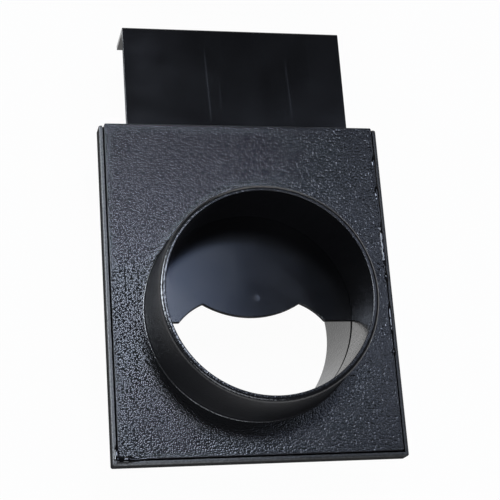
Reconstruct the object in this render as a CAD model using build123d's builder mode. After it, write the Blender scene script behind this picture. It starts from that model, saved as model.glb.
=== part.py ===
from build123d import *
import os
from math import hypot

# Blast gate for a 100 mm dust hose: two moulded halves cemented face to face, with a gate that
# slides between them. It lies on its rear neck, and the origin is on the duct axis, in the plane of
# that neck's rim. Z points along the duct, out of the front neck, and Y is the way the gate pulls
# out. All sizes are in millimetres.

# Necks: the round spigots that a hose is pushed over, one on each half
neck_rim_diameter = 100.0
neck_length = 35.5
neck_wall = 3.0
neck_land = 12.0  # straight stretch behind the rim, before the neck begins to widen
neck_growth = 1.2  # how much the radius grows from the rim to the plate, inside and outside
neck_root_fillet = 1.0
neck_rim_outer_rounding = 2.0  # leads a hose onto the neck
neck_rim_inner_rounding = 0.4

# Slide gate
gate_thickness = 2.3
gate_side_cover = 6.5  # how far the gate reaches past the bore on each side
gate_bottom_cover = 2.1  # how far the lobe reaches past the bore's lowest point when closed
gate_face_clearance = 0.3
gate_side_clearance = 0.4
gate_end_clearance = 0.8
gate_corner_radius = 1.0
gate_edge_rounding = 0.3
gate_rest_pull = 49.0  # how far the gate stands open from closed

# Gate's lower edge: a round lobe between two notches, and flat corners outside them
lobe_half_width = 23.2
notch_rise = 6.5
corner_drop = 2.2
corner_half_width = 34.7
slant_bulge = 0.9

# Gate's handle: a lip along the top edge, turned back by a right angle
lip_depth = 20.7
lip_bend_radius = 1.0
lip_outer_rounding = 0.8
lip_stop_clearance = 0.2

# Sprue mark: a shallow round dimple on the gate's face
sprue_radius = 1.8
sprue_depth = 0.04
sprue_offset_x = 2.3
sprue_above_lobe = 9.2

# Front plate, seated on the rear half's lands
plate_thickness = 3.2
side_land = 10.9
bottom_land = 13.2
guide_length = 45.3  # slot above the bore that guides the gate
plate_corner_radius = 0.8
plate_edge_rounding = 0.2

# Rear tray, whose thin rim stands around three sides of the front plate
floor_thickness = 3.2
rim_wall = 1.8
rim_groove = 0.8
rim_drop = 0.7  # how far the rim's edge lies below the plate's face
tray_top_drop = 0.6  # how far the tray's open end stops short of the plate's
tray_corner_radius = 1.0
tray_edge_rounding = 0.9

# Radii of the duct
rim_radius = neck_rim_diameter / 2
root_radius = rim_radius + neck_growth
bore_rim_radius = rim_radius - neck_wall
bore_slot_radius = bore_rim_radius + neck_growth

# Heights, from the rear rim to the front rim
tray_back_z = neck_length
floor_front_z = tray_back_z + floor_thickness
gate_back_z = floor_front_z + gate_face_clearance
gate_face_z = gate_back_z + gate_thickness
plate_back_z = gate_face_z + gate_face_clearance
plate_face_z = plate_back_z + plate_thickness
rim_edge_z = plate_face_z - rim_drop
front_rim_z = plate_face_z + neck_length

# Widths, and places along Y measured from the duct axis
gate_width = 2 * (bore_slot_radius + gate_side_cover)
slot_width = gate_width + 2 * gate_side_clearance
plate_width = slot_width + 2 * side_land
recess_width = plate_width + 2 * rim_groove
tray_width = recess_width + 2 * rim_wall
closed_lobe_y = -(bore_slot_radius + gate_bottom_cover)
slot_bottom_y = closed_lobe_y - corner_drop - gate_end_clearance
plate_bottom_y = slot_bottom_y - bottom_land
plate_top_y = bore_slot_radius + guide_length
recess_bottom_y = plate_bottom_y - rim_groove
tray_bottom_y = recess_bottom_y - rim_wall
tray_top_y = plate_top_y - tray_top_drop


def neck_section(rim_z, plate_z):
    """Half section of a neck's outside, from its rim to its plate, filled to the duct axis."""
    towards_plate = 1 if plate_z > rim_z else -1
    with BuildSketch(Plane.XZ) as section:
        with BuildLine():
            Polyline(
                (0, rim_z),
                (rim_radius, rim_z),
                (rim_radius, rim_z + towards_plate * neck_land),
                (root_radius, plate_z),
                (0, plate_z),
                close=True,
            )
        make_face()
    return section.sketch.face()


def bore_section(rim_z, slot_z):
    """Half section of the bore, which widens from the rim to the gate's slot."""
    with BuildSketch(Plane.XZ) as section:
        with BuildLine():
            Polyline(
                (0, rim_z),
                (bore_rim_radius, rim_z),
                (bore_slot_radius, slot_z),
                (0, slot_z),
                close=True,
            )
        make_face()
    return section.sketch.face()


# Rear half: tray with a floor, three lands, a thin rim and the rear neck, moulded in one
with BuildPart() as rear_half:
    with BuildSketch(Plane.XY.offset(tray_back_z)):
        with Locations((0, (tray_bottom_y + tray_top_y) / 2)):
            RectangleRounded(tray_width, tray_top_y - tray_bottom_y, tray_corner_radius)
    extrude(amount=rim_edge_z - tray_back_z)
    slab_edges = rear_half.edges().group_by(Axis.Z)
    fillet(slab_edges[0] + slab_edges[-1], tray_edge_rounding)

    # Recess that the front plate drops into, open where the gate comes out
    with BuildSketch(Plane.XY.offset(plate_back_z)):
        with Locations((0, recess_bottom_y)):
            Rectangle(recess_width, tray_top_y - recess_bottom_y, align=(Align.CENTER, Align.MIN))
    extrude(amount=plate_thickness, mode=Mode.SUBTRACT)

    # Slot that the gate slides in, between the lands
    with BuildSketch(Plane.XY.offset(floor_front_z)):
        with Locations((0, slot_bottom_y)):
            Rectangle(slot_width, tray_top_y - slot_bottom_y, align=(Align.CENTER, Align.MIN))
    extrude(amount=plate_back_z - floor_front_z, mode=Mode.SUBTRACT)

    revolve(neck_section(0, tray_back_z), axis=Axis.Z)
    revolve(bore_section(0, floor_front_z), axis=Axis.Z, mode=Mode.SUBTRACT)
    # The neck's root is the widest circle
    rear_circles = rear_half.edges().filter_by(GeomType.CIRCLE)
    fillet(rear_circles.sort_by(SortBy.RADIUS)[-1], neck_root_fillet)
    fillet(rear_half.edges().group_by(Axis.Z)[0].sort_by(SortBy.RADIUS)[-1], neck_rim_outer_rounding)
    fillet(rear_half.edges().group_by(Axis.Z)[0].sort_by(SortBy.RADIUS)[0], neck_rim_inner_rounding)

# Front half: flat plate with the front neck, moulded in one and cemented into the tray
with BuildPart() as front_half:
    with BuildSketch(Plane.XY.offset(plate_back_z)):
        with Locations((0, (plate_bottom_y + plate_top_y) / 2)):
            RectangleRounded(plate_width, plate_top_y - plate_bottom_y, plate_corner_radius)
    extrude(amount=plate_thickness)
    fillet(front_half.edges().group_by(Axis.Z)[-1], plate_edge_rounding)

    revolve(neck_section(front_rim_z, plate_face_z), axis=Axis.Z)
    revolve(bore_section(front_rim_z, plate_back_z), axis=Axis.Z, mode=Mode.SUBTRACT)
    front_circles = front_half.edges().filter_by(GeomType.CIRCLE)
    fillet(front_circles.sort_by(SortBy.RADIUS)[-1], neck_root_fillet)
    fillet(front_half.edges().group_by(Axis.Z)[-1].sort_by(SortBy.RADIUS)[-1], neck_rim_outer_rounding)
    fillet(front_half.edges().group_by(Axis.Z)[-1].sort_by(SortBy.RADIUS)[0], neck_rim_inner_rounding)

# Slide gate: flat sheet with a shaped lower edge and a lip turned back along its top, moulded in one
lobe_y = closed_lobe_y + gate_rest_pull
notch_y = lobe_y + notch_rise
corner_y = lobe_y - corner_drop
lip_inner_y = plate_top_y + lip_bend_radius + lip_stop_clearance + gate_rest_pull
gate_top_y = lip_inner_y + gate_thickness
gate_half_width = gate_width / 2
slant_run = corner_half_width - lobe_half_width
slant_fall = notch_y - corner_y
slant_length = hypot(slant_run, slant_fall)
slant_middle_x = (lobe_half_width + corner_half_width) / 2 + slant_bulge * slant_fall / slant_length
slant_middle_y = (notch_y + corner_y) / 2 + slant_bulge * slant_run / slant_length

with BuildPart() as slide_gate:
    with BuildSketch(Plane.XY.offset(gate_back_z)):
        with BuildLine():
            ThreePointArc((-lobe_half_width, notch_y), (0, lobe_y), (lobe_half_width, notch_y))
            for side in (-1, 1):
                ThreePointArc(
                    (side * lobe_half_width, notch_y),
                    (side * slant_middle_x, slant_middle_y),
                    (side * corner_half_width, corner_y),
                )
                Polyline(
                    (side * corner_half_width, corner_y),
                    (side * gate_half_width, corner_y),
                    (side * gate_half_width, gate_top_y),
                    (0, gate_top_y),
                )
        make_face()
    extrude(amount=gate_thickness)

    # Lip, as thick as the sheet
    with BuildSketch(Plane.XY.offset(gate_face_z)):
        with Locations((0, lip_inner_y)):
            Rectangle(gate_width, gate_thickness, align=(Align.CENTER, Align.MIN))
    extrude(amount=-lip_depth)
    along_x = slide_gate.edges().filter_by(Axis.X)
    fillet(along_x.sort_by_distance((0, lip_inner_y, gate_back_z))[0], lip_bend_radius)
    along_x = slide_gate.edges().filter_by(Axis.X)
    fillet(along_x.sort_by_distance((0, gate_top_y, gate_face_z))[0], lip_outer_rounding)
    fillet(slide_gate.edges().filter_by(Axis.Z).group_by(Axis.Y)[0], gate_corner_radius)
    face_edges = slide_gate.faces().filter_by(Axis.Z).sort_by(Axis.Z)[-1].edges()
    fillet(face_edges.filter_by_position(Axis.Y, corner_y, lip_inner_y), gate_edge_rounding)

    # Sprue mark, cut by a sphere
    sphere_radius = (sprue_radius**2 + sprue_depth**2) / (2 * sprue_depth)
    with Locations((sprue_offset_x, lobe_y + sprue_above_lobe, gate_face_z + sphere_radius - sprue_depth)):
        Sphere(sphere_radius, mode=Mode.SUBTRACT)

os.makedirs("parts", exist_ok=True)
rear_half.part.label = "rear_half"
export_step(rear_half.part, "parts/rear_half.step")
front_half.part.label = "front_half"
export_step(front_half.part, "parts/front_half.step")
slide_gate.part.label = "slide_gate"
export_step(slide_gate.part, "parts/slide_gate.step")
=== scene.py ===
from math import ceil, cos, hypot, pi, radians, sin

import bmesh
import bpy
from mathutils import Matrix, Vector
from mathutils.geometry import delaunay_2d_cdt


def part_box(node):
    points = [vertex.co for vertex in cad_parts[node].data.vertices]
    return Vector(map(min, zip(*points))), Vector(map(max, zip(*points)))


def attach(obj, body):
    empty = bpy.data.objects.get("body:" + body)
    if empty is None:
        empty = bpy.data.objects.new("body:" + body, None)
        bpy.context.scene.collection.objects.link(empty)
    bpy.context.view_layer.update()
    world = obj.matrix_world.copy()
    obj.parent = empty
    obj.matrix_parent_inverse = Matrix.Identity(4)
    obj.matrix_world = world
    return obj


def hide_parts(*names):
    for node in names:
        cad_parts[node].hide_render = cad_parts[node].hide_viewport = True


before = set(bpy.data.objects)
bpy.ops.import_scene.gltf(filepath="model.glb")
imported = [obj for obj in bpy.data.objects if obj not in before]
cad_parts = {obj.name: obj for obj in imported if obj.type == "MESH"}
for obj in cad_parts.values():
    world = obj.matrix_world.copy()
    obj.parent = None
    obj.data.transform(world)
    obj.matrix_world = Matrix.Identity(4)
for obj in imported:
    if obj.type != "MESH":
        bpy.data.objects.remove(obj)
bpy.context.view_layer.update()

# Rear half
# A shallow tray with a round hose neck on its back, moulded in one from black ABS. Its outer face
# has the tool's pebble grain, the neck and the edges are smooth, and the part lies on the neck's rim.
mm = 0.001
rear_low, rear_high = (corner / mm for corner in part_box("rear_half"))
neck_length = 35.5
neck_radius = 50.0
neck_wall = 3.0
neck_land = 12.0
neck_growth = 1.2
neck_root_fillet = 1.0
neck_rim_outer_rounding = 2.0
neck_rim_inner_rounding = 0.4
grain_radius = 52.6
neck_segments = 360
floor_thickness = 3.2
rim_wall = 1.8
land_height = 41.6
slot_half_width = 55.1
slot_bottom = -53.3
tray_corner_radius = 1.0
tray_edge_rounding = 0.9
rounding_steps = 6
quarter_turn = [radians(90 * step / rounding_steps) for step in range(rounding_steps + 1)]
root_steps = 8
grained_root_rows = 4
root_grain = 0.3
edge_spacing = 0.6
lattice_spacing = 0.475
sharp_angle = radians(35)


def linear_colour(code):
    """Turns an sRGB hex colour such as #26282B into the linear colour that the shaders take."""
    parts = [int(code[i : i + 2], 16) / 255 for i in (1, 3, 5)]
    return [p / 12.92 if p <= 0.04045 else ((p + 0.055) / 1.055) ** 2.4 for p in parts] + [1.0]


def add_node(tree, kind, inputs=None, **settings):
    """Adds a node with its settings, and fills each input with a value or a link from a socket."""
    node = tree.nodes.new(kind)
    for name, value in settings.items():
        setattr(node, name, value)
    for key, value in (inputs or {}).items():
        if isinstance(value, bpy.types.NodeSocket):
            tree.links.new(value, node.inputs[key])
        else:
            node.inputs[key].default_value = value
    return node


def new_material(name):
    """Gives a new material and its empty node tree."""
    material = bpy.data.materials.new(name)
    material.use_nodes = True
    material.node_tree.nodes.clear()
    return material, material.node_tree


# Smooth black ABS: a near-black body under a satin skin that waves a little, with faint draw marks
# along the duct where the moulding slid off its core. Hoses have rubbed the necks' outsides rougher, and
# their paler grey there is partly that wear and partly a painted reflection of the grained plate
draw_mark_spacing = 0.5 * mm
draw_mark_length = 18 * mm
skin_wave = 1.2 * mm
skin_wave_height = 0.12 * mm
rub_and_painted_reflection_start = 49.2 * mm
rub_and_painted_reflection_full = 49.8 * mm
smooth_abs, tree = new_material("smooth_black_ABS")
place = add_node(tree, "ShaderNodeTexCoord").outputs["Object"]
along_duct = add_node(
    tree,
    "ShaderNodeMapping",
    {"Vector": place, "Scale": (1 / draw_mark_spacing, 1 / draw_mark_spacing, 1 / draw_mark_length)},
)
marks = add_node(
    tree, "ShaderNodeTexNoise", {"Vector": along_duct.outputs["Vector"], "Scale": 1.0, "Detail": 2.0}
)
satin = add_node(
    tree, "ShaderNodeMapRange", {"Value": marks.outputs["Fac"], "To Min": 0.15, "To Max": 0.28}
)
shade = add_node(
    tree,
    "ShaderNodeMix",
    {0: marks.outputs["Fac"], 6: linear_colour("#0F0F11"), 7: linear_colour("#18181A")},
    data_type="RGBA",
)
flat_place = add_node(tree, "ShaderNodeVectorMath", {0: place, 1: (1, 1, 0)}, operation="MULTIPLY")
from_axis = add_node(tree, "ShaderNodeVectorMath", {0: flat_place.outputs["Vector"]}, operation="LENGTH")
rubbed_and_painted_reflection = add_node(
    tree,
    "ShaderNodeMapRange",
    {"Value": from_axis.outputs["Value"], "From Min": rub_and_painted_reflection_start, "From Max": rub_and_painted_reflection_full},
)
# Paler grey on the necks' outsides: part hose wear, part a painted reflection of the grained plate
shade = add_node(
    tree,
    "ShaderNodeMix",
    {0: rubbed_and_painted_reflection.outputs["Result"], 6: shade.outputs[2], 7: linear_colour("#1C1C1E")},
    data_type="RGBA",
)
satin = add_node(
    tree,
    "ShaderNodeMapRange",
    {"Value": rubbed_and_painted_reflection.outputs["Result"], "To Min": satin.outputs["Result"], "To Max": 0.36},
)
waves = add_node(tree, "ShaderNodeTexNoise", {"Vector": place, "Scale": 1 / skin_wave, "Detail": 1.0})
raised = add_node(
    tree,
    "ShaderNodeBump",
    {"Height": waves.outputs["Fac"], "Strength": 1.0, "Distance": skin_wave_height},
)
skin = add_node(
    tree,
    "ShaderNodeBsdfPrincipled",
    {
        "Base Color": shade.outputs[2],
        "Roughness": satin.outputs["Result"],
        "IOR": 1.54,
        "Normal": raised.outputs["Normal"],
    },
)
add_node(tree, "ShaderNodeOutputMaterial", {"Surface": skin.outputs["BSDF"]})

# Dull black ABS: the tray's walls and lands are matt from the tool and hardly shine. Its rim has been
# scuffed lighter in patches about a millimetre wide, and a painted highlight makes these patches
# lighter still towards the left, where the window's light falls on the rim
scuff_size = 1.1 * mm
scuff_height = 0.15 * mm
rim_foot = 43.2 * mm
rim_top = 43.8 * mm
most_scuffed_and_highlighted_x = -60 * mm
least_scuffed_and_highlighted_x = 20 * mm
dull_abs, tree = new_material("dull_black_ABS")
place = add_node(tree, "ShaderNodeTexCoord").outputs["Object"]
axes = add_node(tree, "ShaderNodeSeparateXYZ", {"Vector": place}).outputs
scuffs = add_node(tree, "ShaderNodeTexNoise", {"Vector": place, "Scale": 1 / scuff_size, "Detail": 2.0})
satin = add_node(
    tree,
    "ShaderNodeMapRange",
    {"Value": scuffs.outputs["Fac"], "From Min": 0.3, "From Max": 0.7, "To Min": 0.28, "To Max": 0.45},
)
matt = add_node(
    tree,
    "ShaderNodeMapRange",
    {
        "Value": axes["Z"],
        "From Min": rim_foot,
        "From Max": rim_top,
        "To Min": 0.9,
        "To Max": satin.outputs["Result"],
    },
)
shine = add_node(
    tree,
    "ShaderNodeMapRange",
    {"Value": axes["Z"], "From Min": rim_foot, "From Max": rim_top, "To Min": 0.12, "To Max": 0.5},
)
# Painted highlight: the rim's lighter scuff colour grows towards the left, where the window's light
# falls
painted_highlight_leftward = add_node(
    tree,
    "ShaderNodeMapRange",
    {
        "Value": axes["X"],
        "From Min": most_scuffed_and_highlighted_x,
        "From Max": least_scuffed_and_highlighted_x,
        "To Min": 1.7,
        "To Max": 0.35,
    },
)
scuffs_and_painted_highlight = add_node(
    tree,
    "ShaderNodeMath",
    {0: scuffs.outputs["Fac"], 1: painted_highlight_leftward.outputs["Result"]},
    operation="MULTIPLY",
)
wear_and_painted_highlight = add_node(
    tree,
    "ShaderNodeMapRange",
    {"Value": axes["Z"], "From Min": rim_foot, "From Max": rim_top, "To Max": scuffs_and_painted_highlight.outputs[0]},
)
shade = add_node(
    tree,
    "ShaderNodeMix",
    {0: wear_and_painted_highlight.outputs["Result"], 6: linear_colour("#0C0C0D"), 7: linear_colour("#747472")},
    data_type="RGBA",
)
raised = add_node(
    tree,
    "ShaderNodeBump",
    {"Height": scuffs.outputs["Fac"], "Strength": 1.0, "Distance": scuff_height},
)
skin = add_node(
    tree,
    "ShaderNodeBsdfPrincipled",
    {
        "Base Color": shade.outputs[2],
        "Roughness": matt.outputs["Result"],
        "IOR": 1.54,
        "Specular IOR Level": shine.outputs["Result"],
        "Normal": raised.outputs["Normal"],
    },
)
add_node(tree, "ShaderNodeOutputMaterial", {"Surface": skin.outputs["BSDF"]})

# Grained black ABS: the same plastic, moulded against an etched tool, so that it is covered with small
# round pebbles which each catch a point of light. They are in the mesh as well, more coarsely
pebble_size = 0.76 * mm
pebble_relief = 0.08 * mm
pebble_roundness = 2.0
gloss_patch_size = 12 * mm
grained_abs, tree = new_material("pebble_grained_black_ABS")
place = add_node(tree, "ShaderNodeTexCoord").outputs["Object"]
pebbles = add_node(
    tree, "ShaderNodeTexVoronoi", {"Vector": place, "Scale": 1 / pebble_size}, voronoi_dimensions="2D"
)
depth = add_node(
    tree, "ShaderNodeMath", {0: pebbles.outputs["Distance"], 1: pebble_roundness}, operation="POWER"
)
raised = add_node(
    tree,
    "ShaderNodeBump",
    {"Height": depth.outputs[0], "Strength": 1.0, "Distance": pebble_relief},
    invert=True,
)
patches = add_node(
    tree, "ShaderNodeTexNoise", {"Vector": place, "Scale": 1 / gloss_patch_size, "Detail": 3.0}
)
gloss = add_node(
    tree, "ShaderNodeMapRange", {"Value": patches.outputs["Fac"], "To Min": 0.14, "To Max": 0.22}
)
# Painted shade: the valleys between the pebbles are darker than their tops
shade = add_node(
    tree,
    "ShaderNodeMix",
    {0: pebbles.outputs["Distance"], 6: linear_colour("#1A1B1D"), 7: linear_colour("#0D0D0F")},
    data_type="RGBA",
)
skin = add_node(
    tree,
    "ShaderNodeBsdfPrincipled",
    {
        "Base Color": shade.outputs[2],
        "Roughness": gloss.outputs["Result"],
        "IOR": 1.54,
        "Normal": raised.outputs["Normal"],
    },
)
add_node(tree, "ShaderNodeOutputMaterial", {"Surface": skin.outputs["BSDF"]})

# The grain is a rule on a surface: every point with a grain weight sinks along its normal into the
# valleys between the pebbles
pebble_grain = bpy.data.node_groups.new("pebble_grain", "GeometryNodeTree")
pebble_grain.interface.new_socket("Geometry", in_out="INPUT", socket_type="NodeSocketGeometry")
for name in ("Pebble Size", "Relief"):
    pebble_grain.interface.new_socket(name, in_out="INPUT", socket_type="NodeSocketFloat")
pebble_grain.interface.new_socket("Geometry", in_out="OUTPUT", socket_type="NodeSocketGeometry")
given = add_node(pebble_grain, "NodeGroupInput").outputs
weight = add_node(pebble_grain, "GeometryNodeInputNamedAttribute", {"Name": "grain"})
weight = weight.outputs["Attribute"]
density = add_node(
    pebble_grain, "ShaderNodeMath", {0: 1.0, 1: given["Pebble Size"]}, operation="DIVIDE"
)
pebbles = add_node(
    pebble_grain,
    "ShaderNodeTexVoronoi",
    {
        "Vector": add_node(pebble_grain, "GeometryNodeInputPosition").outputs["Position"],
        "Scale": density.outputs[0],
    },
    voronoi_dimensions="2D",
)
depth = add_node(
    pebble_grain,
    "ShaderNodeMath",
    {0: pebbles.outputs["Distance"], 1: pebble_roundness},
    operation="POWER",
)
relief = add_node(
    pebble_grain, "ShaderNodeMath", {0: depth.outputs[0], 1: given["Relief"]}, operation="MULTIPLY"
)
weighted = add_node(
    pebble_grain, "ShaderNodeMath", {0: relief.outputs[0], 1: weight}, operation="MULTIPLY"
)
inwards = add_node(
    pebble_grain, "ShaderNodeMath", {0: weighted.outputs[0], 1: -1.0}, operation="MULTIPLY"
)
normal = add_node(pebble_grain, "GeometryNodeInputNormal")
sunk = add_node(
    pebble_grain,
    "ShaderNodeVectorMath",
    {0: normal.outputs["Normal"], "Scale": inwards.outputs[0]},
    operation="SCALE",
)
moved = add_node(
    pebble_grain,
    "GeometryNodeSetPosition",
    {"Geometry": given["Geometry"], "Offset": sunk.outputs["Vector"]},
)
real = add_node(pebble_grain, "GeometryNodeRealizeInstances", {"Geometry": moved.outputs["Geometry"]})
grained = add_node(
    pebble_grain,
    "FunctionNodeCompare",
    {"A": weight, "B": 0.0},
    data_type="FLOAT",
    operation="GREATER_THAN",
)
dressed = add_node(
    pebble_grain,
    "GeometryNodeSetMaterial",
    {
        "Geometry": real.outputs["Geometry"],
        "Selection": grained.outputs["Result"],
        "Material": grained_abs,
    },
)
add_node(pebble_grain, "NodeGroupOutput", {"Geometry": dressed.outputs["Geometry"]})


def bridge(bm, rows):
    """Joins each closed row of vertices to the next with quads."""
    for near, far in zip(rows, rows[1:]):
        for i in range(len(near)):
            bm.faces.new((near[i - 1], near[i], far[i], far[i - 1]))


def fill(bm, loops, lattice=()):
    """Fills a flat outer loop of vertices with triangles, except for the loops of its holes.

    Lattice points stand inside it, and the vertices made there get a grain weight."""
    grain = bm.verts.layers.float["grain"]
    border = [vertex for loop in loops for vertex in loop]
    ids = iter(range(len(border)))
    outlines = [[next(ids) for _ in loop] for loop in loops]
    points = [vertex.co.xy for vertex in border] + list(lattice)
    inside_with_holes = 2
    closeness = 1e-5
    flat, _, triangles, sources, _, _ = delaunay_2d_cdt(
        points, [], outlines, inside_with_holes, closeness
    )
    vertices = []
    for point, source in zip(flat, sources):
        if source[0] < len(border):
            vertices.append(border[source[0]])
        else:
            vertices.append(bm.verts.new((*point, border[0].co.z)))
            vertices[-1][grain] = 1.0
    for triangle in triangles:
        bm.faces.new([vertices[i] for i in triangle])


def rounded_outline(left, bottom, right, top, radius, stops=()):
    """Points clockwise round a rectangle with rounded corners, each with its outward normal.

    Each stop is a place along the top side that gets a point of its own."""
    corners = (
        (left + radius, top - radius, 180),
        (right - radius, top - radius, 90),
        (right - radius, bottom + radius, 0),
        (left + radius, bottom + radius, -90),
    )
    points = []
    for number, (centre_x, centre_y, start) in enumerate(corners):
        for turn in quarter_turn:
            normal = Vector((cos(radians(start) - turn), sin(radians(start) - turn)))
            points.append((Vector((centre_x, centre_y)) + radius * normal, normal))
        if number == 0:
            points += [(Vector((x, top)), Vector((0, 1))) for x in stops]
    outline = []
    for (start, normal), (end, _) in zip(points, points[1:] + points[:1]):
        count = ceil((end - start).length / edge_spacing)
        outline += [(start.lerp(end, i / count), normal) for i in range(count)]
    return outline


def row_at(bm, outline, inset, height):
    """Makes a row of vertices along an outline, drawn in by an inset."""
    return [bm.verts.new((*(point - inset * normal), height)) for point, normal in outline]


def rounded_rows(bm, outline, rounding, face_height, away):
    """Rows of vertices round an edge, from a flat face to the wall that goes away from it in Z."""
    rows = []
    for turn in quarter_turn:
        drop = rounding * (1 - cos(turn))
        rows.append(row_at(bm, outline, rounding * (1 - sin(turn)), face_height + away * drop))
    return rows


def neck_rows(bm, rim_height, plate_height, slot_height):
    """Rows of vertices of a neck, from the grain on the plate over the rim to the bore's end."""
    out = 1 if rim_height > plate_height else -1
    bore_radius = neck_radius - neck_wall
    slope = neck_growth / (neck_length - neck_land)
    profile = [(grain_radius, plate_height)]
    for step in range(root_steps + 1):
        turn = radians(90 * step / root_steps)
        climb = neck_root_fillet * (1 - cos(turn))
        reach = neck_root_fillet * (1 - sin(turn)) - slope * climb
        profile.append((neck_radius + neck_growth + reach, plate_height + out * climb))
    profile.append((neck_radius, rim_height - out * neck_land))
    for turn in quarter_turn:
        reach = neck_rim_outer_rounding * (1 - cos(turn))
        drop = neck_rim_outer_rounding * (1 - sin(turn))
        profile.append((neck_radius - reach, rim_height - out * drop))
    for turn in reversed(quarter_turn):
        reach = neck_rim_inner_rounding * (1 - cos(turn))
        drop = neck_rim_inner_rounding * (1 - sin(turn))
        profile.append((bore_radius + reach, rim_height - out * drop))
    profile.append((bore_radius + neck_growth, slot_height))
    turns = [2 * pi * i / neck_segments for i in range(neck_segments)]
    rows = [[bm.verts.new((r * cos(t), r * sin(t), z)) for t in turns] for r, z in profile]
    grain = bm.verts.layers.float["grain"]
    for vertex in (vertex for row in rows[:grained_root_rows] for vertex in row):
        vertex[grain] = root_grain
    return rows


def pebble_lattice(low, high, margin):
    """Staggered points over a plate's face, clear of its edges and of the neck's root."""
    left, bottom = low.xy + Vector((margin, margin))
    right, top = high.xy - Vector((margin, margin))
    row_height = lattice_spacing * sin(radians(60))
    points = []
    for row in range(1, int((top - bottom) / row_height)):
        y = bottom + row * row_height
        for column in range(1, int((right - left) / lattice_spacing)):
            x = left + (column + row % 2 / 2) * lattice_spacing
            if x < right - lattice_spacing / 2 and hypot(x, y) > grain_radius + lattice_spacing / 2:
                points.append(Vector((x, y)))
    return points


def new_piece(name, bm, materials, trees):
    """Turns a mesh drawn in millimetres into a piece in metres, run through its geometry trees."""
    bmesh.ops.recalc_face_normals(bm, faces=bm.faces)
    bmesh.ops.scale(bm, vec=(mm, mm, mm), verts=bm.verts)
    mesh = bpy.data.meshes.new(name)
    bm.to_mesh(mesh)
    bm.free()
    mesh.polygons.foreach_set("use_smooth", [True] * len(mesh.polygons))
    mesh.set_sharp_from_angle(angle=sharp_angle)
    for material in materials:
        mesh.materials.append(material)
    piece = bpy.data.objects.new(name, mesh)
    bpy.context.scene.collection.objects.link(piece)
    for tree, values in trees:
        modifier = piece.modifiers.new(tree.name, "NODES")
        modifier.node_group = tree
        for socket in tree.interface.items_tree:
            if socket.name in values:
                modifier[socket.identifier] = values[socket.name]
    even = piece.modifiers.new("even_normals", "WEIGHTED_NORMAL")
    even.keep_sharp = True
    solid = bpy.data.meshes.new_from_object(piece.evaluated_get(bpy.context.evaluated_depsgraph_get()))
    piece.modifiers.clear()
    piece.data = solid
    bpy.data.meshes.remove(mesh)
    solid.name = name
    return piece


floor_front = neck_length + floor_thickness
recess_half_width = rear_high.x - rim_wall
recess_bottom = rear_low.y + rim_wall
bm = bmesh.new()
bm.verts.layers.float.new("grain")
stops = (-recess_half_width, -slot_half_width, slot_half_width, recess_half_width)
tray = rounded_outline(*rear_low.xy, *rear_high.xy, tray_corner_radius, stops)


def stop_index(outline, x):
    """Finds an outline's point at a stop on its top side."""
    return min(range(len(outline)), key=lambda i: (outline[i][0] - Vector((x, rear_high.y))).length)


# Tray's floor, from the grained back to the slot that the gate slides in
first = stop_index(tray, slot_half_width)
tray = tray[first:] + tray[:first]
mouth = stop_index(tray, -slot_half_width)
rim_start = stop_index(tray, recess_half_width)
rim_end = stop_index(tray, -recess_half_width)
floor_rows = rounded_rows(bm, tray, tray_edge_rounding, neck_length, 1)
floor_rows.append(row_at(bm, tray, 0, floor_front))
rear_neck = neck_rows(bm, rear_low.z, neck_length, floor_front)
bridge(bm, floor_rows)
bridge(bm, rear_neck)
fill(bm, [floor_rows[0], rear_neck[0]], pebble_lattice(rear_low, rear_high, tray_edge_rounding))
floor_row = floor_rows[-1]
slot_corners = [(-slot_half_width, slot_bottom), (slot_half_width, slot_bottom)]
slot_low = [bm.verts.new((*corner, floor_front)) for corner in slot_corners]
fill(bm, [floor_row[mouth:] + floor_row[:1] + slot_low[::-1], rear_neck[-1]])

# Lands on three sides of the slot, which the front plate is cemented to
slot_high = [bm.verts.new((*corner, land_height)) for corner in slot_corners]
land_row = row_at(bm, tray[: mouth + 1], 0, land_height)
bridge(bm, [floor_row[: mouth + 1] + slot_low, land_row + slot_high])
recess_corners = [(-recess_half_width, recess_bottom), (recess_half_width, recess_bottom)]
recess_low = [bm.verts.new((*corner, land_height)) for corner in recess_corners]
fill(bm, [land_row[: rim_start + 1] + recess_low[::-1] + land_row[rim_end:] + slot_high])

# Thin rim that stands round the front plate, rounded along its outer edge
rim_rows = [land_row[rim_start : rim_end + 1] + recess_low]
rim_outline = tray[rim_start : rim_end + 1]
for row in reversed(rounded_rows(bm, rim_outline, tray_edge_rounding, rear_high.z, -1)):
    rim_rows.append(row + [bm.verts.new((*corner, row[0].co.z)) for corner in recess_corners])
bridge(bm, rim_rows)
fill(bm, [rim_rows[-1]])
for face in bm.faces:
    if face.calc_center_median().xy.length > grain_radius:
        face.material_index = 1
rear_half = new_piece(
    "rear_half_moulding",
    bm,
    [smooth_abs, dull_abs, grained_abs],
    [(pebble_grain, {"Pebble Size": pebble_size, "Relief": pebble_relief})],
)
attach(rear_half, "housing")
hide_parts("rear_half")

# Slide gate
# A flat sheet with a lip turned back along its top as the handle, moulded in one from black ABS. It
# slides in the slot between the halves, whose edges have drawn fine scratches along its travel.
slide_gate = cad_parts["slide_gate"]
scratch_width = 1.4
scratch_fade = 6.0
# Each scratch has its upper end, its lower end and its strength
scratches = (
    ((-14.6, 136.0), (-13.3, 96.0), 0.35),
    ((-8.1, 119.2), (-8.0, 102.0), 0.2),
    ((25.9, 132.0), (27.5, 98.0), 0.28),
)
sprue_mark = (2.3, 7.9, 41.3)
sprue_blush_and_highlight_reach = 3.0
thumb_place = (-44.0, 134.0, 41.3)
thumb_reach = 32.0
sheet_edge_low = 40.9
sheet_edge_high = 41.2
lip_start = 138.0
lip_full = 141.0
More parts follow.
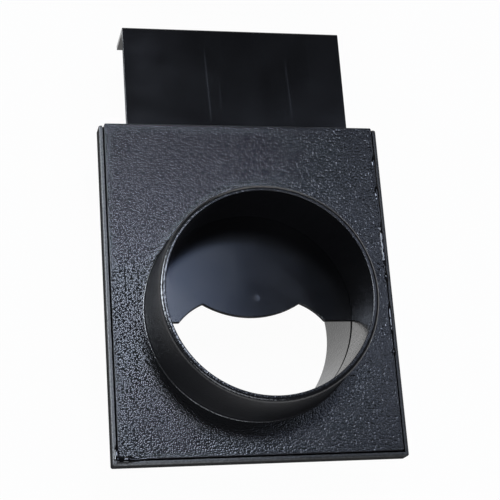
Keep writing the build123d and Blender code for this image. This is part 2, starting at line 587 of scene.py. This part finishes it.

# Glossy black ABS: the sheet's tool was polished, so it mirrors what stands over it. Handling has
# smudged it, the housing has scratched it, a pale blush is left round the sprue, partly a painted
# highlight of the sprue's dimple, and its edges are matt
smudge_size = 22 * mm
rub_spacing = 0.4 * mm
rub_length = 40 * mm
gate_abs, tree = new_material("rubbed_gloss_black_ABS")
place = add_node(tree, "ShaderNodeTexCoord").outputs["Object"]
smudges = add_node(
    tree, "ShaderNodeTexNoise", {"Vector": place, "Scale": 1 / smudge_size, "Detail": 4.0}
)
gloss = add_node(
    tree,
    "ShaderNodeMapRange",
    {"Value": smudges.outputs["Fac"], "From Min": 0.3, "From Max": 0.7, "To Min": 0.14, "To Max": 0.19},
)
along_travel = add_node(
    tree,
    "ShaderNodeMapping",
    {"Vector": place, "Scale": (1 / rub_spacing, 1 / rub_length, 1 / rub_spacing)},
)
rubbing = add_node(
    tree, "ShaderNodeTexNoise", {"Vector": along_travel.outputs["Vector"], "Scale": 1.0, "Detail": 3.0}
)
wear_and_painted_highlight = add_node(
    tree,
    "ShaderNodeMapRange",
    {"Value": rubbing.outputs["Fac"], "From Min": 0.6, "From Max": 0.75, "To Max": 0.12},
)
axes = add_node(tree, "ShaderNodeSeparateXYZ", {"Vector": place}).outputs
marked = wear_and_painted_highlight.outputs["Result"]
for start, end, strength in scratches:
    lean = (end[0] - start[0]) / (end[1] - start[1])
    middle = (start[1] + end[1]) / 2
    reach = abs(end[1] - start[1]) / 2
    line = add_node(
        tree,
        "ShaderNodeMath",
        {0: axes["Y"], 1: lean, 2: (start[0] - lean * start[1]) * mm},
        operation="MULTIPLY_ADD",
    )
    across = add_node(tree, "ShaderNodeMath", {0: axes["X"], 1: line.outputs[0]}, operation="SUBTRACT")
    across = add_node(tree, "ShaderNodeMath", {0: across.outputs[0]}, operation="ABSOLUTE")
    across = add_node(
        tree,
        "ShaderNodeMapRange",
        {"Value": across.outputs[0], "From Max": scratch_width / 2 * mm, "To Min": 1.0, "To Max": 0.0},
    )
    along = add_node(tree, "ShaderNodeMath", {0: axes["Y"], 1: middle * mm}, operation="SUBTRACT")
    along = add_node(tree, "ShaderNodeMath", {0: along.outputs[0]}, operation="ABSOLUTE")
    fading = add_node(
        tree,
        "ShaderNodeMapRange",
        {
            "Value": along.outputs[0],
            "From Min": (reach - scratch_fade) * mm,
            "From Max": reach * mm,
            "To Min": strength,
            "To Max": 0.0,
        },
    )
    scratch = add_node(
        tree,
        "ShaderNodeMath",
        {0: across.outputs["Result"], 1: fading.outputs["Result"]},
        operation="MULTIPLY",
    )
    marked = add_node(
        tree, "ShaderNodeMath", {0: marked, 1: scratch.outputs[0]}, operation="MAXIMUM"
    ).outputs[0]
from_sprue = add_node(
    tree,
    "ShaderNodeVectorMath",
    {0: place, 1: [part * mm for part in sprue_mark]},
    operation="DISTANCE",
)
# Pale blush round the sprue: partly a real moulding blush, partly a painted highlight of its dimple
blush_and_painted_highlight = add_node(
    tree,
    "ShaderNodeMapRange",
    {"Value": from_sprue.outputs["Value"], "From Max": sprue_blush_and_highlight_reach * mm, "To Min": 0.4, "To Max": 0.0},
    interpolation_type="SMOOTHERSTEP",
)
marked = add_node(
    tree, "ShaderNodeMath", {0: marked, 1: blush_and_painted_highlight.outputs["Result"]}, operation="MAXIMUM"
)
from_thumb = add_node(
    tree,
    "ShaderNodeVectorMath",
    {0: place, 1: [part * mm for part in thumb_place]},
    operation="DISTANCE",
)
handled = add_node(
    tree,
    "ShaderNodeMapRange",
    {"Value": from_thumb.outputs["Value"], "From Max": thumb_reach * mm, "To Min": 0.3, "To Max": 0.0},
    interpolation_type="SMOOTHSTEP",
)
haze = add_node(
    tree,
    "ShaderNodeMath",
    {0: handled.outputs["Result"], 1: smudges.outputs["Fac"]},
    operation="MULTIPLY",
)
marked = add_node(
    tree, "ShaderNodeMath", {0: marked.outputs[0], 1: haze.outputs[0]}, operation="MAXIMUM"
)
shade = add_node(
    tree,
    "ShaderNodeMix",
    {0: marked.outputs[0], 6: linear_colour("#0C0C0E"), 7: linear_colour("#303036")},
    data_type="RGBA",
)
roughened = add_node(
    tree,
    "ShaderNodeMath",
    {0: marked.outputs[0], 1: 0.2, 2: gloss.outputs["Result"]},
    operation="MULTIPLY_ADD",
)
sheet_edge = add_node(
    tree,
    "ShaderNodeMapRange",
    {
        "Value": axes["Z"],
        "From Min": sheet_edge_low * mm,
        "From Max": sheet_edge_high * mm,
        "To Min": 0.8,
        "To Max": roughened.outputs[0],
    },
)
matt = add_node(
    tree,
    "ShaderNodeMapRange",
    {
        "Value": axes["Y"],
        "From Min": lip_start * mm,
        "From Max": lip_full * mm,
        "To Min": sheet_edge.outputs["Result"],
        "To Max": roughened.outputs[0],
    },
)
skin = add_node(
    tree,
    "ShaderNodeBsdfPrincipled",
    {"Base Color": shade.outputs[2], "Roughness": matt.outputs["Result"], "IOR": 1.54},
)
add_node(tree, "ShaderNodeOutputMaterial", {"Surface": skin.outputs["BSDF"]})
slide_gate.data.materials.clear()
slide_gate.data.materials.append(gate_abs)

# Front half
# A flat plate with the front hose neck, moulded in one like the rear half. It drops inside the
# tray's rim and is cemented to the lands on its three closed sides.
front_low, front_high = (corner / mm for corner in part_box("front_half"))
plate_thickness = 3.2
plate_corner_radius = 0.8
plate_edge_rounding = 0.2
plate_face = front_low.z + plate_thickness
bm = bmesh.new()
bm.verts.layers.float.new("grain")
plate = rounded_outline(*front_low.xy, *front_high.xy, plate_corner_radius)
plate_edge = rounded_rows(bm, plate, plate_edge_rounding, plate_face, -1)
plate_edge.append(row_at(bm, plate, 0, front_low.z))
front_neck = neck_rows(bm, front_high.z, plate_face, front_low.z)
bridge(bm, plate_edge)
bridge(bm, front_neck)
fill(bm, [plate_edge[0], front_neck[0]], pebble_lattice(front_low, front_high, plate_edge_rounding))
fill(bm, [plate_edge[-1], front_neck[-1]])
front_half = new_piece(
    "front_half_moulding",
    bm,
    [smooth_abs, grained_abs],
    [(pebble_grain, {"Pebble Size": pebble_size, "Relief": pebble_relief})],
)
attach(front_half, "housing")
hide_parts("front_half")

# Cement
# Solvent cement that was squeezed out of the seam between the halves and set as a lumpy black bead,
# along the right-hand groove and round the lower left corner.
streak_size = 1.5 * mm
step_share = 0.12  # way between points along the bead, as a share of a lump

# Each point of a seam has its place in millimetres and how much cement was squeezed out there
cement_seams = (
    ((66.3, 84.0, 43.8, 0.0), (65.9, 80.0, 43.6, 1.3), (65.5, 76.0, 43.5, 1.7), (65.6, 58.0, 43.5, 1.6)),
    ((65.6, 59.0, 43.5, 1.5), (66.1, 44.0, 43.8, 1.0), (66.0, 39.0, 44.8, 1.1), (66.0, 25.0, 44.9, 1.1)),
    ((66.0, 26.0, 44.9, 1.0), (66.1, 22.0, 43.9, 0.8), (66.2, 17.0, 44.8, 1.0), (66.2, 13.0, 43.9, 0.8)),
    ((66.3, 5.0, 43.9, 0.6), (66.2, 1.0, 44.8, 1.1), (66.2, -9.0, 44.8, 1.0), (66.3, -13.0, 43.9, 0.6)),
    ((66.3, -16.0, 44.0, 0.0), (66.2, -20.0, 44.9, 1.1), (66.3, -24.0, 44.0, 0.0)),
    ((-66.6, -59.0, 44.0, 0.0), (-66.8, -63.0, 44.6, 1.4), (-66.6, -66.4, 45.0, 1.8)),
    (
        (-66.6, -66.4, 45.0, 1.8),
        (-61.0, -66.6, 44.8, 1.7),
        (-57.0, -66.8, 44.0, 0.6),
        (-53.0, -66.8, 43.8, 0.0),
    ),
)

# Set cement: plastic dissolved in solvent, which dries as a smooth black film with a wet shine
cement_skin, tree = new_material("set_solvent_cement")
place = add_node(tree, "ShaderNodeTexCoord").outputs["Object"]
streaks = add_node(
    tree, "ShaderNodeTexNoise", {"Vector": place, "Scale": 1 / streak_size, "Detail": 2.0}
)
wet = add_node(
    tree, "ShaderNodeMapRange", {"Value": streaks.outputs["Fac"], "To Min": 0.03, "To Max": 0.12}
)
skin = add_node(
    tree,
    "ShaderNodeBsdfPrincipled",
    {"Base Color": linear_colour("#0B0B0C"), "Roughness": wet.outputs["Result"], "IOR": 1.54},
)
add_node(tree, "ShaderNodeOutputMaterial", {"Surface": skin.outputs["BSDF"]})

# The bead follows the seam: a round section swept along it, as thick as the squeeze there, lumpy, and
# flattened towards the height of the seam
cement_bead = bpy.data.node_groups.new("cement_bead", "GeometryNodeTree")
cement_bead.interface.new_socket("Geometry", in_out="INPUT", socket_type="NodeSocketGeometry")
for name in ("Bead Radius", "Lump Length", "Flatness", "Seam Height", "Seed"):
    cement_bead.interface.new_socket(name, in_out="INPUT", socket_type="NodeSocketFloat")
cement_bead.interface.new_socket("Geometry", in_out="OUTPUT", socket_type="NodeSocketGeometry")
given = add_node(cement_bead, "NodeGroupInput").outputs
squeeze = add_node(cement_bead, "GeometryNodeInputNamedAttribute", {"Name": "squeeze"})
squeeze = squeeze.outputs["Attribute"]
seam = add_node(cement_bead, "GeometryNodeMeshToCurve", {"Mesh": given["Geometry"]})
step = add_node(
    cement_bead, "ShaderNodeMath", {0: given["Lump Length"], 1: step_share}, operation="MULTIPLY"
)
points = add_node(
    cement_bead,
    "GeometryNodeResampleCurve",
    {"Curve": seam.outputs["Curve"], "Length": step.outputs[0]},
    mode="LENGTH",
)
density = add_node(
    cement_bead, "ShaderNodeMath", {0: 1.0, 1: given["Lump Length"]}, operation="DIVIDE"
)
lumps = add_node(
    cement_bead,
    "ShaderNodeTexNoise",
    {
        "Vector": add_node(cement_bead, "GeometryNodeInputPosition").outputs["Position"],
        "W": given["Seed"],
        "Scale": density.outputs[0],
        "Detail": 1.0,
    },
    noise_dimensions="4D",
)
swelling = add_node(
    cement_bead,
    "ShaderNodeMapRange",
    {"Value": lumps.outputs["Fac"], "From Min": 0.3, "From Max": 0.7, "To Min": 0.75, "To Max": 1.05},
)
thick = add_node(
    cement_bead, "ShaderNodeMath", {0: swelling.outputs["Result"], 1: squeeze}, operation="MULTIPLY"
)
section = add_node(
    cement_bead, "GeometryNodeCurvePrimitiveCircle", {"Resolution": 12, "Radius": given["Bead Radius"]}
)
bead = add_node(
    cement_bead,
    "GeometryNodeCurveToMesh",
    {
        "Curve": points.outputs["Curve"],
        "Profile Curve": section.outputs["Curve"],
        "Scale": thick.outputs[0],
        "Fill Caps": True,
    },
)
squash = add_node(cement_bead, "ShaderNodeCombineXYZ", {"X": 1.0, "Y": 1.0, "Z": given["Flatness"]})
sunk = add_node(
    cement_bead, "ShaderNodeMath", {0: given["Seam Height"], 1: given["Flatness"]}, operation="MULTIPLY"
)
lift = add_node(
    cement_bead, "ShaderNodeMath", {0: given["Seam Height"], 1: sunk.outputs[0]}, operation="SUBTRACT"
)
low_spot = add_node(
    cement_bead,
    "ShaderNodeVectorMath",
    {
        0: add_node(cement_bead, "GeometryNodeInputPosition").outputs["Position"],
        1: squash.outputs["Vector"],
        2: add_node(cement_bead, "ShaderNodeCombineXYZ", {"Z": lift.outputs[0]}).outputs["Vector"],
    },
    operation="MULTIPLY_ADD",
)
flat = add_node(
    cement_bead,
    "GeometryNodeSetPosition",
    {"Geometry": bead.outputs["Mesh"], "Position": low_spot.outputs["Vector"]},
)
real = add_node(cement_bead, "GeometryNodeRealizeInstances", {"Geometry": flat.outputs["Geometry"]})
soft = add_node(cement_bead, "GeometryNodeSetShadeSmooth", {"Geometry": real.outputs["Geometry"]})
dressed = add_node(
    cement_bead,
    "GeometryNodeSetMaterial",
    {"Geometry": soft.outputs["Geometry"], "Material": cement_skin},
)
add_node(cement_bead, "NodeGroupOutput", {"Geometry": dressed.outputs["Geometry"]})

bm = bmesh.new()
squeeze = bm.verts.layers.float.new("squeeze")
for seam in cement_seams:
    row = []
    for *spot, amount in seam:
        row.append(bm.verts.new(spot))
        row[-1][squeeze] = amount
    for near, far in zip(row, row[1:]):
        bm.edges.new((near, far))
bead_sizes = {
    "Bead Radius": 1.0 * mm,
    "Lump Length": 3.5 * mm,
    "Flatness": 0.5,
    "Seam Height": 44.7 * mm,
    "Seed": 3.0,
}
cement = new_piece(
    "cement_squeeze_out",
    bm,
    [cement_skin],
    [(cement_bead, bead_sizes)],
)
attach(cement, "housing")

# Studio
# A pale floor under the part and a camera where the photograph was taken from. A softbox overhead makes
# the left of the grain sparkle, a bluish panel beside it lights the gate in the bore, weaker panels
# stand in front, right and behind, and a window on the left draws the bright line along the neck's rim.
floor_size = 12.0
room_light = 0.06
mesh = bpy.data.meshes.new("floor")
half = floor_size / 2
floor_corners = [(-half, -half, 0), (half, -half, 0), (half, half, 0), (-half, half, 0)]
mesh.from_pydata(floor_corners, [], [(0, 1, 2, 3)])
floor = bpy.data.objects.new("floor", mesh)
bpy.context.scene.collection.objects.link(floor)

# White paper: seen by the camera or in a mirror it is nearly plain white, and a little of the shadow
# that the part throws on it stays
floor_paper, tree = new_material("white_paper_floor")
white_share = 0.97
mirrored_share = 0.76
ray = add_node(tree, "ShaderNodeLightPath").outputs
seen = add_node(
    tree, "ShaderNodeMath", {0: ray["Is Camera Ray"], 1: white_share}, operation="MULTIPLY"
)
bounced = add_node(
    tree,
    "ShaderNodeMath",
    {0: ray["Is Glossy Ray"], 1: ray["Is Transmission Ray"]},
    operation="MAXIMUM",
)
mirrored = add_node(
    tree, "ShaderNodeMath", {0: bounced.outputs[0], 1: mirrored_share}, operation="MULTIPLY"
)
share = add_node(
    tree, "ShaderNodeMath", {0: seen.outputs[0], 1: mirrored.outputs[0]}, operation="MAXIMUM"
)
paper = add_node(tree, "ShaderNodeBsdfDiffuse", {"Color": linear_colour("#F4F4F4")})
white = add_node(tree, "ShaderNodeEmission", {"Color": (1, 1, 1, 1), "Strength": 1.0})
mix = add_node(
    tree,
    "ShaderNodeMixShader",
    {"Fac": share.outputs[0], 1: paper.outputs["BSDF"], 2: white.outputs["Emission"]},
)
add_node(tree, "ShaderNodeOutputMaterial", {"Surface": mix.outputs["Shader"]})
mesh.materials.append(floor_paper)

world = bpy.data.worlds.new("studio")
bpy.context.scene.world = world
world.use_nodes = True
world.node_tree.nodes["Background"].inputs["Color"].default_value = linear_colour("#F2F6FF")
world.node_tree.nodes["Background"].inputs["Strength"].default_value = room_light


def add_lamp(name, place, target, width, height, radiance, colour):
    """Adds a rectangular lamp whose face shines with the given radiance towards a target point."""
    light = bpy.data.lights.new(name, "AREA")
    light.shape = "RECTANGLE"
    light.size = width
    light.size_y = height
    light.energy = radiance * width * height * pi
    light.color = linear_colour(colour)[:3]
    lamp = bpy.data.objects.new(name, light)
    lamp.location = place
    lamp.rotation_euler = (Vector(target) - Vector(place)).to_track_quat("-Z", "Y").to_euler()
    bpy.context.scene.collection.objects.link(lamp)
    return lamp


add_lamp("softbox", (0.02, 0.32, 1.2), (0.02, 0.32, 0.0), 0.16, 0.23, 28.5, "#E0EBFF")
add_lamp("sky_panel", (0.17, 0.31, 1.2), (0.17, 0.31, 0.0), 0.14, 0.24, 2.0, "#A8C4FF")
add_lamp("front_panel", (-0.3, -0.95, 0.95), (0, 0, 0.05), 1.2, 0.45, 4.5, "#F0F5FF")
add_lamp("right_panel", (0.66, 0.35, 1.2), (0.3, 0.2, 0.05), 0.55, 0.35, 2.1, "#D8E4FF")
add_lamp("back_panel", (0.3, 1.3, 0.55), (0, 0, 0.05), 0.9, 0.4, 3.0, "#FFFFFF")
window = add_lamp("window", (-0.88, 0.37, 0.86), (0, 0, 0.06), 0.6, 0.45, 25.0, "#EAF3FF")
# The window is only mirrored, so that it adds its highlight and leaves the level of light plain
window.visible_diffuse = False

camera_place = Vector((-0.1505, -0.1726, 0.6676))
camera_aim = Vector((0.0009, 0.0312, 0.0422))
camera_roll = radians(-4.25)
camera_lens = 102.95
backward = (camera_place - camera_aim).normalized()
right = Vector((0, 1, 0)).cross(backward).normalized()
turn = Matrix((right, backward.cross(right), backward)).transposed().to_4x4()
lens = bpy.data.cameras.new("camera")
lens.sensor_width = 36.0
lens.lens = camera_lens
camera = bpy.data.objects.new("camera", lens)
camera.matrix_world = Matrix.Translation(camera_place) @ turn @ Matrix.Rotation(camera_roll, 4, "Z")
bpy.context.scene.collection.objects.link(camera)
bpy.context.scene.camera = camera
bpy.context.scene.view_settings.view_transform = "Standard"
